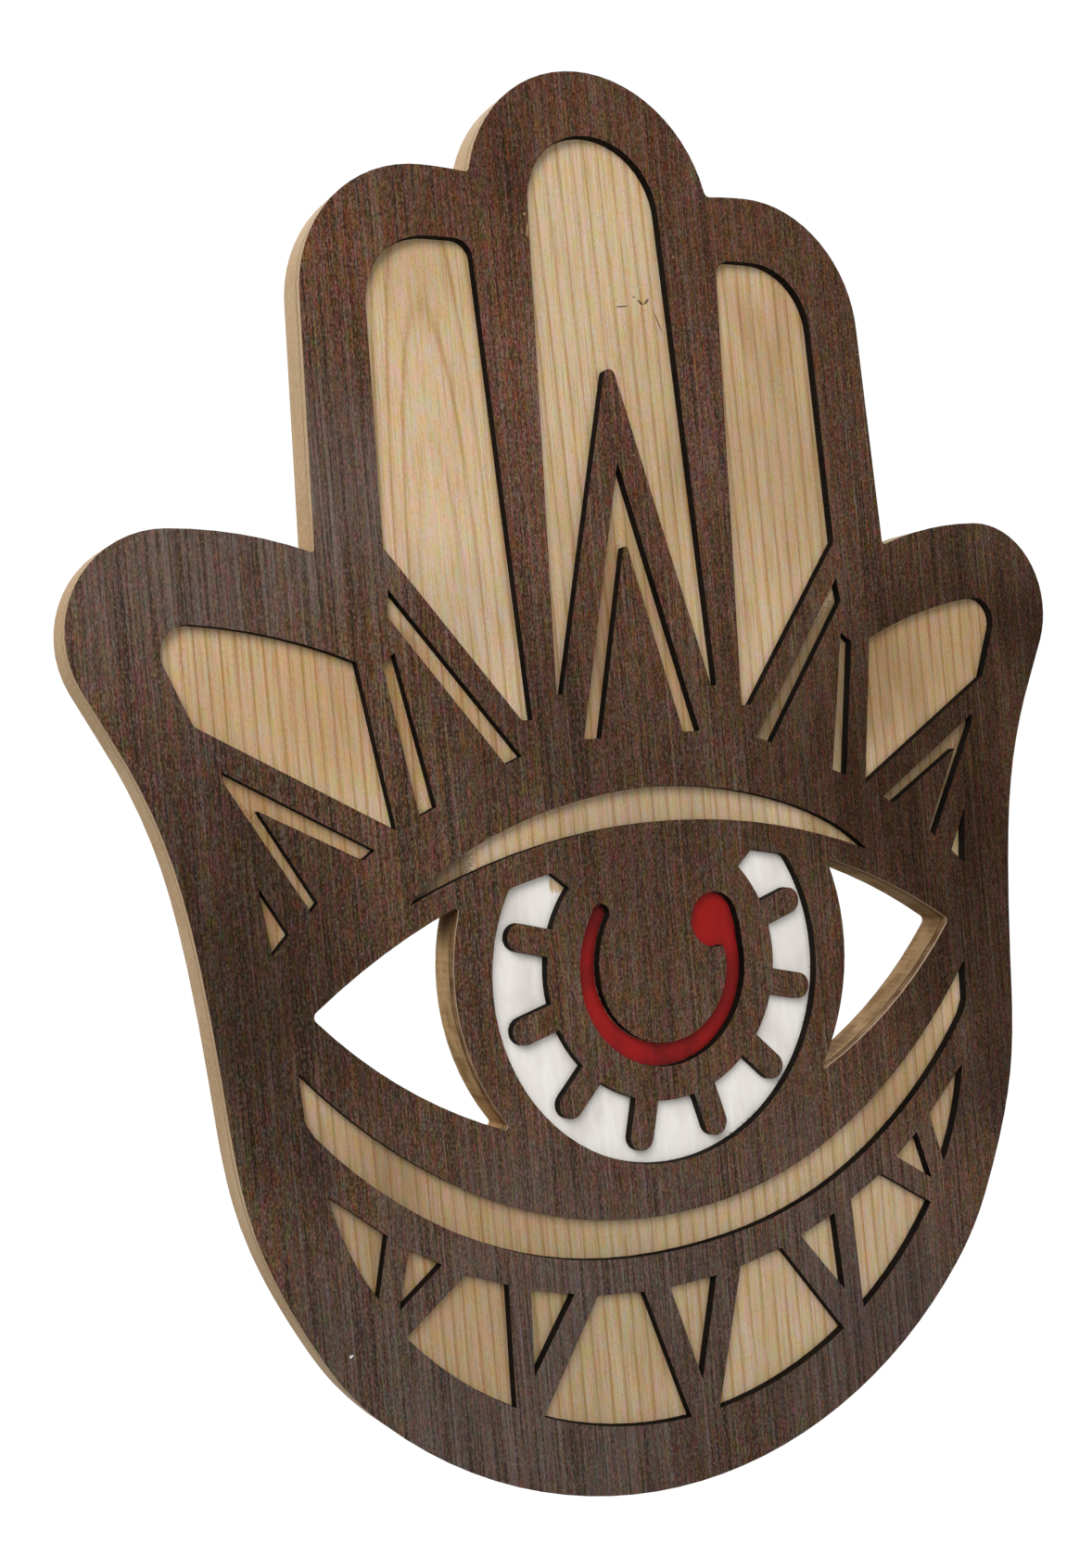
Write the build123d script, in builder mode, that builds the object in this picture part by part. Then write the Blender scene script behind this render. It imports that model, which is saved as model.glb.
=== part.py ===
# Hamsa wall plaque: a dark fret-cut front board glued on a pale veneered back board,
# painted fields in the eye, and a hinged ring hanger with two felt pads on the back.
# Millimetres. +Z is up, the front faces -Y, and the wall is the plane Y = 0.
# The origin is on the wall where the hook goes, in line with the crown of the hanger's ring.
import os
from math import cos, radians, sin, sqrt, tan

from build123d import *

# Layers, from the wall to the front
pad_thickness = 4.0
veneer_thickness = 0.6
core_thickness = 7.8
fret_core_thickness = 2.5
dark_veneer_thickness = 0.5
paint_thickness = 0.15
paint_margin = 0.1

# The pattern is drawn from the centre of the eye, which hangs this far below the hook
eye_drop = 205.0

# Middle finger: a round-ended window with a tall peak standing in it
finger_frame = 19.0
middle_window_radius = 22.4
middle_tip_height = 222.8
middle_foot_half_width = 27.9
middle_foot_height = 81.3
middle_foot_gap = 2.0
peak_height = 182.0
peak_tip_radius = 1.9
chevron_foot_height = 68.0
chevron_half_width = 20.2
chevron_leg_width = 5.9
chevron_height = 148.9
chevron_inner_height = 126.3
chevron_tip_radius = 0.8

# Side fingers
side_window_radius = 20.8
side_window_drop = 1.0
shoulder_reach = 55.5
shoulder_height = 191.7
side_edge_flare = 2.5
side_window_flare = 1.6
side_window_foot = (39.9, 74.7)
side_window_knee_height = 124.4
side_window_inner_top = 42.2
side_window_inner_foot = 36.5
side_window_corner_radius = 5.5
middle_crotch_angle = 11.0
middle_crotch_radius = 1.8
thumb_crotch_height = 123.0
thumb_crotch_radius = 1.1

# Thumb and little-finger lobes
lobe_reach = 138.0
lobe_height = 102.0
lobe_radius = 28.0
lobe_flank_angle = -26.0

# Waist and base of the palm; the teeth end on an arc of their own, a little lower
waist_points = [(152.8, 69.1), (144.2, 44.8), (139.7, 20.2), (136.1, -16.6), (131.5, -52.3), (117.7, -85.9)]
base_centre_height = -8.8
tooth_base_radius = 119.1
tooth_base_drop = 4.2
base_frame = 23.3
hip_angle = -45.0

# Rays round the upper half of the palm, right-hand side
lobe_window_top = [(88.8, 93.4), (113.0, 101.5), (133.2, 105.0)]
lobe_window_tip = (140.6, 102.3)
lobe_window_side = [(141.9, 94.8), (135.4, 78.9), (81.7, 47.3)]
slanted_ray = [(77.6, 112.9), (78.5, 105.5), (46.4, 62.6), (41.0, 64.6)]
upright_ray = [(77.4, 95.5), (81.3, 92.5), (74.4, 50.4), (69.1, 52.6)]
lobe_chevron = [
    (129.3, 66.8),
    (88.5, 42.5),
    (92.2, 40.2),
    (120.3, 55.8),
    (106.1, 30.3),
    (108.3, 28.1),
    (128.7, 63.5),
]
lobe_wedge = [(122.2, 36.2), (114.9, 22.9), (120.0, 17.9)]

# Brow and the two pierced corners of the eye
brow_upper = [(79.9, 26.5), (68.0, 35.7), (54.5, 42.2), (26.0, 50.2)]
brow_height = 52.6
brow_depth = 10.3
eye_half_width = 110.9
eye_corner_height = 0.6
eye_upper_lid = 36.2
eye_lower_lid = 50.2
eye_rim = 11.6
rim_centre = (-0.6, 1.9)
eye_corner_radius = 1.7
eye_tip_radius = 0.9

# White ring and the round-ended teeth that stand in it
ring_outer_radius = 56.4
ring_centre = (-0.6, -1.2)
pupil_radius = 39.5
ring_end_angle = 41.3
ring_lid_gap = 2.4
ring_end_radius = 3.2
tooth_width = 7.9
tooth_gap = 3.1
lower_tooth_growth = 0.9
tooth_angles = [16.4, -14.6, -45, -75, -105, -135, -165.4, -196.4]

# Red crescent in the pupil
crescent_outer_radius = 28.8
crescent_drop = 0.8
crescent_depth = 6.9
crescent_side_width = 6.5
crescent_horn_height = 19.4
crescent_horn_reach = 22.9
crescent_horn_width = 5.7
crescent_bead_radius = 8.3
crescent_bead_spot = (19.2, 11.3)
crescent_arc_angle = 10.0
crescent_cheek = (28.0, 10.0)
crescent_shoulder_angle = 35.0

# Long band under the eye, right-hand half
band_upper = [(115.8, -13.3), (81.5, -45.6), (38.2, -67.1)]
band_lower = [(43.5, -77.5), (88.0, -54.7), (113.1, -30.5)]
band_end = (115.3, -26.2)
band_height = -72.5
band_depth = 10.7

# Teeth under the band: corners along the top, then along the round base
outer_tooth = [(110.9, -46.6), (95.2, -60.2), (99.3, -76.4)]
outer_tooth_side = (106.5, -62.0)
small_wedge = [(89.3, -65.1), (80.0, -71.2), (93.7, -80.6)]
broad_tooth_top = [(73.3, -75.4), (60.6, -81.0)]
broad_tooth_base = [61.6, 92.4]
long_wedge = [(53.8, -83.9), (40.1, -88.1), (55.0, -107.8)]
inner_tooth_top = [(32.6, -90.3), (17.1, -92.5)]
inner_tooth_base = [5.0, 53.3]
middle_wedge = [(8.2, -93.3), (0.0, -122.2), (-8.2, -93.3)]

# Hanger: a folded steel strap, a wire ring that swings in its knuckle, two screws
strap_width = 12.0
strap_length = 30.0
strap_thickness = 1.6
strap_end_radius = 3.0
knuckle_wall = 0.8
ring_wire_radius = 1.0
ring_running_clearance = 0.08
ring_side_play = 0.4
ring_corner_radius = 2.2
ring_apex_radius = 3.0
ring_apex_angle = 40.0
ring_lean = 1.6
screw_shank_radius = 1.4
screw_head_radius = 2.8
screw_length = 9.0
screw_tip_radius = 0.4
screw_tip_length = 2.0
screw_slot_width = 0.7
screw_slot_depth = 0.8
screw_clearance = 0.15
pilot_clearance = 0.05
first_screw_drop = 9.0
second_screw_drop = 22.0

# Felt pads near the bottom of the back
pad_radius = 6.0
pad_reach = 62.0
pad_drop = 100.0

# Sizes that follow from those above
back_depth = pad_thickness
core_depth = back_depth + veneer_thickness
face_depth = core_depth + core_thickness
front_depth = face_depth + veneer_thickness
dark_depth = front_depth + fret_core_thickness
middle_tip_radius = middle_window_radius + finger_frame
shoulder_radius = side_window_radius + finger_frame
base_radius = tooth_base_radius + base_frame
head_depth = screw_head_radius - screw_shank_radius
knuckle_bore = ring_wire_radius + ring_running_clearance
knuckle_radius = knuckle_bore + knuckle_wall
apex_half_angle = radians(ring_apex_angle / 2)
corner_turn = radians(90) + apex_half_angle
ring_corner_x = strap_width / 2 + ring_side_play + ring_corner_radius * tan(corner_turn / 2)
ring_sharp_height = ring_corner_x / tan(apex_half_angle)
ring_height = ring_sharp_height - ring_apex_radius * (1 / sin(apex_half_angle) - 1)
lean = radians(ring_lean)
hinge_y = -back_depth + knuckle_radius
hinge_z = -(ring_height - ring_wire_radius) * cos(lean)


def on_circle(centre, radius, angle):
    return (centre[0] + radius * cos(radians(angle)), centre[1] + radius * sin(radians(angle)))


def flipped(points):
    return [(-x, z) for x, z in reversed(points)]


def tooth_base(x):
    return (x, base_centre_height - tooth_base_drop - sqrt(tooth_base_radius**2 - x**2))


def layer_plane(depth):
    return Plane(origin=(0, -depth, -eye_drop), x_dir=(1, 0, 0), z_dir=(0, -1, 0))


# Outline of the hand: right half from the middle fingertip down to the base, then its mirror
tip_centre = (0, middle_tip_height)
shoulder_centre = (shoulder_reach, shoulder_height)
lobe_centre = (lobe_reach, lobe_height)
base_centre = (0, base_centre_height)
middle_crotch = on_circle(tip_centre, middle_tip_radius, middle_crotch_angle)
shoulder_top = on_circle(shoulder_centre, shoulder_radius, 90)
shoulder_end = on_circle(shoulder_centre, shoulder_radius, 0)
thumb_crotch = (shoulder_end[0] + side_edge_flare, thumb_crotch_height)
lobe_top = on_circle(lobe_centre, lobe_radius, 90)
lobe_end = on_circle(lobe_centre, lobe_radius, lobe_flank_angle)
hip = on_circle(base_centre, base_radius, hip_angle)
flank_direction = (sin(radians(lobe_flank_angle)), -cos(radians(lobe_flank_angle)))
hip_direction = (sin(radians(hip_angle)), -cos(radians(hip_angle)))

with BuildSketch() as hand:
    with BuildLine():
        ThreePointArc(
            on_circle(tip_centre, middle_tip_radius, 90),
            on_circle(tip_centre, middle_tip_radius, 50),
            middle_crotch,
        )
        TangentArc(shoulder_top, middle_crotch, tangent=(-1, 0))
        ThreePointArc(shoulder_top, on_circle(shoulder_centre, shoulder_radius, 45), shoulder_end)
        Line(shoulder_end, thumb_crotch)
        TangentArc(lobe_top, thumb_crotch, tangent=(-1, 0))
        ThreePointArc(lobe_top, on_circle(lobe_centre, lobe_radius, 30), lobe_end)
        Spline(lobe_end, *waist_points, hip, tangents=[flank_direction, hip_direction])
        ThreePointArc(
            hip,
            on_circle(base_centre, base_radius, (hip_angle - 90) / 2),
            on_circle(base_centre, base_radius, -90),
        )
        mirror(about=Plane.YZ)
    make_face()
    for crotch, crotch_radius in ((middle_crotch, middle_crotch_radius), (thumb_crotch, thumb_crotch_radius)):
        for side in (1, -1):
            corner = hand.vertices().sort_by_distance((side * crotch[0], crotch[1]))[0]
            fillet(corner, radius=crotch_radius)

# Corners of the eye, pierced through both boards beside the rim of the ring
lid_corner = (eye_half_width, eye_corner_height)
with BuildSketch() as eye_corners:
    with BuildLine():
        ThreePointArc(lid_corner, (0, eye_upper_lid), flipped([lid_corner])[0])
        ThreePointArc(flipped([lid_corner])[0], (0, -eye_lower_lid), lid_corner)
    make_face()
    with Locations(rim_centre):
        Circle(ring_outer_radius + eye_rim, mode=Mode.SUBTRACT)
    for side in (1, -1):
        outer_corner = eye_corners.vertices().sort_by_distance((side * lid_corner[0], lid_corner[1]))[0]
        fillet(outer_corner, radius=eye_corner_radius)
    rim_tips = eye_corners.vertices().filter_by(lambda spot: abs(spot.X) < ring_outer_radius + eye_rim)
    fillet(rim_tips, radius=eye_tip_radius)

# Ring window: open at the top under the eyelid, with teeth standing in from the pupil
def ring_field(inset):
    lid_end = (eye_half_width, eye_corner_height - inset)
    end_ray = on_circle((0, 0), 2 * ring_outer_radius, ring_end_angle)
    end_drop = inset / cos(radians(ring_end_angle))
    level_length = ring_outer_radius - tooth_gap - tooth_width / 2
    with BuildSketch() as field:
        with Locations(ring_centre):
            Circle(ring_outer_radius - inset)
        with BuildLine():
            lid = ThreePointArc(lid_end, (0, eye_upper_lid - ring_lid_gap - inset), flipped([lid_end])[0])
            Polyline(lid @ 1, (-eye_half_width, -eye_half_width), (eye_half_width, -eye_half_width), lid @ 0)
        make_face(mode=Mode.INTERSECT)
        for side in (1, -1):
            shoulders = field.vertices().filter_by(lambda spot: spot.Y > ring_outer_radius / 4)
            fillet(shoulders.sort_by_distance((side * ring_outer_radius, 0))[0], radius=ring_end_radius)
        Circle(pupil_radius + inset, mode=Mode.SUBTRACT)
        Polygon(
            (0, -end_drop),
            (end_ray[0], end_ray[1] - end_drop),
            (-end_ray[0], end_ray[1] - end_drop),
            mode=Mode.SUBTRACT,
        )
        for angle in tooth_angles:
            tooth_length = level_length - lower_tooth_growth * sin(radians(angle))
            with Locations(Location((0, 0, 0), (0, 0, angle))):
                with Locations((tooth_length / 2, 0)):
                    SlotCenterToCenter(tooth_length, tooth_width + 2 * inset, mode=Mode.SUBTRACT)
    return field.sketch


# Crescent window: an arc that thickens at the bottom, a round horn and a round bead
crescent_centre = (0, -crescent_drop)
bead_shoulder = on_circle(crescent_bead_spot, crescent_bead_radius, crescent_shoulder_angle)
crescent_inner_side = crescent_outer_radius - crescent_side_width
crescent_bottom = -crescent_drop - crescent_outer_radius
horn_outer = (-crescent_horn_reach, crescent_horn_height - crescent_horn_width / 4)
horn_inner = (-crescent_horn_reach + crescent_horn_width, crescent_horn_height - crescent_horn_width / 2)
with BuildSketch() as crescent_window:
    with BuildLine():
        ThreePointArc(
            (-crescent_outer_radius, -crescent_drop),
            (0, crescent_bottom),
            (crescent_outer_radius, -crescent_drop),
        )
        ThreePointArc(
            (crescent_outer_radius, -crescent_drop),
            on_circle(crescent_centre, crescent_outer_radius, crescent_arc_angle / 2),
            on_circle(crescent_centre, crescent_outer_radius, crescent_arc_angle),
        )
        ThreePointArc(
            on_circle(crescent_centre, crescent_outer_radius, crescent_arc_angle),
            crescent_cheek,
            bead_shoulder,
        )
        Line(bead_shoulder, crescent_bead_spot)
        Line(crescent_bead_spot, (crescent_inner_side, 0))
        ThreePointArc(
            (crescent_inner_side, 0),
            (0, crescent_bottom + crescent_depth),
            (-crescent_inner_side, 0),
        )
        TangentArc((-crescent_inner_side, 0), horn_inner, tangent=(0, 1))
        ThreePointArc(
            horn_inner,
            (-crescent_horn_reach + crescent_horn_width / 2, crescent_horn_height + crescent_horn_width / 6),
            horn_outer,
        )
        TangentArc((-crescent_outer_radius, -crescent_drop), horn_outer, tangent=(0, 1))
    make_face()
    with Locations(crescent_bead_spot):
        Circle(crescent_bead_radius)

# Windows that show the pale veneer
side_window_centre = (shoulder_centre[0], shoulder_centre[1] - side_window_drop)
side_window_outer = on_circle(side_window_centre, side_window_radius, 0)
side_window_top = on_circle(side_window_centre, side_window_radius, 90)
side_window_corner = (side_window_inner_top, side_window_top[1])
with BuildSketch() as finger_windows:
    with BuildLine():
        Polyline(
            side_window_outer,
            (side_window_outer[0] + side_window_flare, side_window_knee_height),
            side_window_foot,
            (side_window_inner_foot, side_window_foot[1]),
            side_window_corner,
            side_window_top,
        )
        ThreePointArc(
            side_window_top,
            on_circle(side_window_centre, side_window_radius, 45),
            side_window_outer,
        )
    make_face()
    fillet(
        finger_windows.vertices().sort_by_distance(side_window_corner)[0],
        radius=side_window_corner_radius,
    )
    mirror(about=Plane.YZ)
    peak_half_width = middle_foot_half_width - middle_foot_gap
    with BuildLine():
        ThreePointArc(
            on_circle(tip_centre, middle_window_radius, 0),
            on_circle(tip_centre, middle_window_radius, 90),
            on_circle(tip_centre, middle_window_radius, 180),
        )
        Polyline(
            on_circle(tip_centre, middle_window_radius, 180),
            (-middle_foot_half_width, middle_foot_height),
            (-peak_half_width, middle_foot_height),
            (0, peak_height),
            (peak_half_width, middle_foot_height),
            (middle_foot_half_width, middle_foot_height),
            on_circle(tip_centre, middle_window_radius, 0),
        )
    make_face()
    fillet(
        finger_windows.vertices().sort_by_distance((0, peak_height))[0],
        radius=peak_tip_radius,
    )
    Polygon(
        (0, chevron_height),
        (-chevron_half_width, chevron_foot_height),
        (chevron_leg_width - chevron_half_width, chevron_foot_height),
        (0, chevron_inner_height),
        (chevron_half_width - chevron_leg_width, chevron_foot_height),
        (chevron_half_width, chevron_foot_height),
    )
    fillet(
        finger_windows.vertices().sort_by_distance((0, chevron_inner_height))[0],
        radius=chevron_tip_radius,
    )

with BuildSketch() as ray_windows:
    with BuildLine():
        ThreePointArc(*lobe_window_top)
        ThreePointArc(lobe_window_top[2], lobe_window_tip, lobe_window_side[0])
        Polyline(*lobe_window_side, lobe_window_top[0])
    make_face()
    Polygon(*slanted_ray)
    Polygon(*upright_ray)
    Polygon(*lobe_chevron)
    Polygon(*lobe_wedge)
    mirror(about=Plane.YZ)

brow_end = brow_upper[0]
band_top = [*band_upper, (0, band_height), *flipped(band_upper)]
band_bottom = [*flipped(band_lower), (0, band_height - band_depth), *band_lower]
with BuildSketch() as eye_windows:
    with BuildLine():
        Spline(*brow_upper, (0, brow_height), *flipped(brow_upper))
        ThreePointArc(flipped([brow_end])[0], (0, brow_height - brow_depth), brow_end)
    make_face()
    with BuildLine():
        Spline(*band_top)
        Polyline(band_top[-1], flipped([band_end])[0], band_bottom[0])
        Spline(*band_bottom)
        Polyline(band_bottom[-1], band_end, band_top[0])
    make_face()

with BuildSketch() as tooth_windows:
    with BuildLine():
        Polyline(*outer_tooth)
        ThreePointArc(outer_tooth[-1], outer_tooth_side, outer_tooth[0])
    make_face()
    Polygon(*small_wedge)
    Polygon(*long_wedge)
    for top, base in ((broad_tooth_top, broad_tooth_base), (inner_tooth_top, inner_tooth_base)):
        with BuildLine():
            Polyline(tooth_base(base[1]), *top, tooth_base(base[0]))
            ThreePointArc(tooth_base(base[0]), tooth_base((base[0] + base[1]) / 2), tooth_base(base[1]))
        make_face()
    mirror(about=Plane.YZ)
    Polygon(*middle_wedge)

with BuildSketch() as plain_board:
    add(hand.sketch)
    add(eye_corners.sketch, mode=Mode.SUBTRACT)

with BuildSketch() as fret:
    add(plain_board.sketch)
    for windows in (finger_windows, ray_windows, eye_windows, tooth_windows, crescent_window):
        add(windows.sketch, mode=Mode.SUBTRACT)
    add(ring_field(0), mode=Mode.SUBTRACT)

with BuildSketch() as red_field:
    add(crescent_window.sketch)
    offset(amount=-paint_margin, mode=Mode.REPLACE)

# Screws stand on the strap's outer face and point into the board
strap_face_y = -back_depth + strap_thickness
screw_places = [
    Location(Plane(origin=(0, strap_face_y, hinge_z - drop), x_dir=(1, 0, 0), z_dir=(0, -1, 0)))
    for drop in (first_screw_drop, second_screw_drop)
]
pilot_radius = screw_shank_radius + pilot_clearance
pilot_depth = screw_length + pilot_clearance
from_face = (Align.CENTER, Align.CENTER, Align.MIN)

with BuildPart() as back_veneer:
    with BuildSketch(layer_plane(back_depth)):
        add(plain_board.sketch)
    extrude(amount=veneer_thickness)
    with Locations(*screw_places):
        Cylinder(pilot_radius, pilot_depth, align=from_face, mode=Mode.SUBTRACT)

with BuildPart() as back_board:
    with BuildSketch(layer_plane(core_depth)):
        add(plain_board.sketch)
    extrude(amount=core_thickness)
    with Locations(*screw_places):
        Cylinder(pilot_radius, pilot_depth, align=from_face, mode=Mode.SUBTRACT)

with BuildPart() as face_veneer:
    with BuildSketch(layer_plane(face_depth)):
        add(plain_board.sketch)
    extrude(amount=veneer_thickness)

with BuildPart() as fret_board:
    with BuildSketch(layer_plane(front_depth)):
        add(fret.sketch)
    extrude(amount=fret_core_thickness)

with BuildPart() as fret_veneer:
    with BuildSketch(layer_plane(dark_depth)):
        add(fret.sketch)
    extrude(amount=dark_veneer_thickness)

with BuildPart() as eye_white_paint:
    with BuildSketch(layer_plane(front_depth)):
        add(ring_field(paint_margin))
    extrude(amount=paint_thickness)

with BuildPart() as crescent_red_paint:
    with BuildSketch(layer_plane(front_depth)):
        add(red_field.sketch)
    extrude(amount=paint_thickness)

# Strap: a flat tongue under the knuckle that the ring's bar turns in
with BuildPart() as hanger_strap:
    with BuildSketch(Plane(origin=(0, strap_face_y, hinge_z), x_dir=(1, 0, 0), z_dir=(0, -1, 0))) as tongue:
        Rectangle(strap_width, strap_length, align=(Align.CENTER, Align.MAX))
        fillet(tongue.vertices().group_by(Axis.Y)[0], radius=strap_end_radius)
    extrude(amount=strap_thickness)
    with BuildSketch(Plane.YZ):
        with Locations((hinge_y, hinge_z)):
            Circle(knuckle_radius)
    extrude(amount=strap_width / 2, both=True)
    with BuildSketch(Plane.YZ):
        with Locations((hinge_y, hinge_z)):
            Circle(knuckle_bore)
    extrude(amount=strap_width / 2, both=True, mode=Mode.SUBTRACT)
    with Locations(*[Location(Plane(place.position, z_dir=(0, 1, 0))) for place in screw_places]):
        CounterSinkHole(
            radius=screw_shank_radius + screw_clearance,
            counter_sink_radius=screw_head_radius + screw_clearance,
            depth=strap_thickness,
            counter_sink_angle=90,
        )

# Ring: a rounded triangle of wire that leans back on the board, closed inside the knuckle
ring_plane = Plane(origin=(0, hinge_y, hinge_z), x_dir=(1, 0, 0), z_dir=(0, -cos(lean), -sin(lean)))
with BuildPart() as hanger_ring:
    with BuildLine(ring_plane) as ring_path:
        FilletPolyline(
            (-ring_corner_x, 0),
            (ring_corner_x, 0),
            (0, ring_sharp_height),
            radius=[ring_corner_radius, ring_corner_radius, ring_apex_radius],
            close=True,
        )
    ring_wire = ring_path.wires()[0]
    with BuildSketch(Plane(origin=ring_wire @ 0, z_dir=ring_wire % 0)):
        Circle(ring_wire_radius)
    sweep(path=ring_wire)

# Screws: countersunk heads with a cross slot, plain shanks and blunt points
with BuildPart() as hanger_screws:
    with Locations(*screw_places):
        Cone(screw_head_radius, screw_shank_radius, head_depth, align=from_face)
        with Locations((0, 0, head_depth)):
            shank_length = screw_length - head_depth - screw_tip_length
            Cylinder(screw_shank_radius, shank_length, align=from_face)
        with Locations((0, 0, screw_length - screw_tip_length)):
            Cone(screw_shank_radius, screw_tip_radius, screw_tip_length, align=from_face)
        for turn in (0, 90):
            Box(
                2 * screw_shank_radius,
                screw_slot_width,
                screw_slot_depth,
                rotation=(0, 0, turn),
                align=from_face,
                mode=Mode.SUBTRACT,
            )

with BuildPart() as felt_pads:
    with BuildSketch(layer_plane(0)):
        with Locations((pad_reach, -pad_drop), (-pad_reach, -pad_drop)):
            Circle(pad_radius)
    extrude(amount=pad_thickness)

pieces = {
    "back_veneer": back_veneer,
    "back_board": back_board,
    "face_veneer": face_veneer,
    "fret_board": fret_board,
    "fret_veneer": fret_veneer,
    "eye_white_paint": eye_white_paint,
    "crescent_red_paint": crescent_red_paint,
    "hanger_strap": hanger_strap,
    "hanger_ring": hanger_ring,
    "hanger_screws": hanger_screws,
    "felt_pads": felt_pads,
}
os.makedirs("parts", exist_ok=True)
for name, piece in pieces.items():
    piece.part.label = name
    export_step(piece.part, f"parts/{name}.step")

print(f"hinge at y {hinge_y:.3f}, z {hinge_z:.3f}; ring height {ring_height:.2f}")
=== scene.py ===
import math

import bmesh
import bpy
from mathutils import Matrix, Vector, kdtree, noise


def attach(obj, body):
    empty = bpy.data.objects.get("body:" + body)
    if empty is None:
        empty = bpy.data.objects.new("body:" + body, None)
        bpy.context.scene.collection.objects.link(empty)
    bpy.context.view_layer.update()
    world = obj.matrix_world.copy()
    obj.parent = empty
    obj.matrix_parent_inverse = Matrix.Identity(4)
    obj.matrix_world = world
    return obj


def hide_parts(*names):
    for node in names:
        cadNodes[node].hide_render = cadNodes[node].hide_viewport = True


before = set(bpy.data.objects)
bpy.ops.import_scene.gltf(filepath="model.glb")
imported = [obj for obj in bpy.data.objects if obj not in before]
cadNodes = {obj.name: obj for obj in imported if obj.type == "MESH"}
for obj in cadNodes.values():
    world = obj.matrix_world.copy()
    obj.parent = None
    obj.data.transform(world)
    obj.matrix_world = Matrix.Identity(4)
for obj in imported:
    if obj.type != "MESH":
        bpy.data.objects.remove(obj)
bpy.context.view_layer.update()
mm = 0.001
frontLevel = -16 * mm  # depth of the dark veneer's face
floorLevel = -13 * mm  # depth of the pale veneer's face, which is the floor of the windows
print("frame loaded:", ", ".join(sorted(cadNodes)))


# Small helpers for node trees: a value is either a constant or another node's output
def addNode(tree, kind, inputs=None, **settings):
    node = tree.nodes.new(kind)
    for name, value in settings.items():
        setattr(node, name, value)
    for name, value in (inputs or {}).items():
        if isinstance(value, bpy.types.NodeSocket):
            tree.links.new(value, node.inputs[name])
        else:
            node.inputs[name].default_value = value
    return node


def calc(tree, operation, first, second=0.0, third=0.0):
    inputs = {0: first, 1: second}
    if operation == "MULTIPLY_ADD":
        inputs[2] = third
    return addNode(tree, "ShaderNodeMath", inputs, operation=operation).outputs[0]


def fromMiddle(tree, value):
    return calc(tree, "SUBTRACT", value, 0.5)


def spread(tree, value, low, high, toLow=0.0, toHigh=1.0):
    inputs = {"Value": value, "From Min": low, "From Max": high, "To Min": toLow, "To Max": toHigh}
    return addNode(tree, "ShaderNodeMapRange", inputs, interpolation_type="SMOOTHSTEP").outputs[0]


def blendColour(tree, factor, first, second, mode="MIX"):
    node = addNode(tree, "ShaderNodeMix", data_type="RGBA", blend_type=mode)
    for index, value in ((0, factor), (6, first), (7, second)):
        if isinstance(value, bpy.types.NodeSocket):
            tree.links.new(value, node.inputs[index])
        elif index == 0:
            node.inputs[index].default_value = value
        else:
            node.inputs[index].default_value = (*value, 1)
    return node.outputs[2]


def toneRamp(tree, factor, stops):
    node = addNode(tree, "ShaderNodeValToRGB", {"Fac": factor})
    elements = node.color_ramp.elements
    while len(elements) < len(stops):
        elements.new(0.5)
    for element, (place, colour) in zip(elements, stops):
        element.position = place
        element.color = (*colour, 1)
    return node.outputs["Color"]


def scaled(tree, vector, scale, location=(0, 0, 0)):
    inputs = {"Vector": vector, "Scale": scale, "Location": location}
    return addNode(tree, "ShaderNodeMapping", inputs).outputs[0]


def cloud(tree, vector, scale=1.0, detail=2.0, roughness=0.5):
    inputs = {"Vector": vector, "Scale": scale, "Detail": detail, "Roughness": roughness}
    return addNode(tree, "ShaderNodeTexNoise", inputs).outputs["Fac"]


def vectorMath(tree, operation, first, second):
    return addNode(tree, "ShaderNodeVectorMath", {0: first, 1: second}, operation=operation).outputs


def splitAxes(tree, vector):
    return addNode(tree, "ShaderNodeSeparateXYZ", {0: vector}).outputs


def objectCoords(tree):
    return addNode(tree, "ShaderNodeTexCoord").outputs["Object"]


def newGroup(name, inputs, outputs):
    group = bpy.data.node_groups.new(name, "ShaderNodeTree")
    for label, kind, value in inputs:
        socket = group.interface.new_socket(name=label, in_out="INPUT", socket_type=kind)
        if value is not None:
            socket.default_value = value
    for label, kind in outputs:
        group.interface.new_socket(name=label, in_out="OUTPUT", socket_type=kind)
    start = group.nodes.new("NodeGroupInput").outputs
    finish = group.nodes.new("NodeGroupOutput").inputs
    return group, start, finish


def useGroup(tree, group, inputs):
    return addNode(tree, "ShaderNodeGroup", inputs, node_tree=group).outputs


def newFinish(name, shader):
    finish = bpy.data.materials.new(name)
    finish.use_nodes = True
    tree = finish.node_tree
    tree.nodes.clear()
    principled = addNode(tree, "ShaderNodeBsdfPrincipled", shader)
    output = addNode(tree, "ShaderNodeOutputMaterial")
    tree.links.new(principled.outputs["BSDF"], output.inputs["Surface"])
    return finish, tree, principled


def connect(tree, principled, colour, roughness, height, bump):
    tree.links.new(colour, principled.inputs["Base Color"])
    tree.links.new(roughness, principled.inputs["Roughness"])
    strength, distance = bump
    relief = addNode(tree, "ShaderNodeBump", {"Height": height, "Strength": strength, "Distance": distance})
    tree.links.new(relief.outputs["Normal"], principled.inputs["Normal"])


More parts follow.
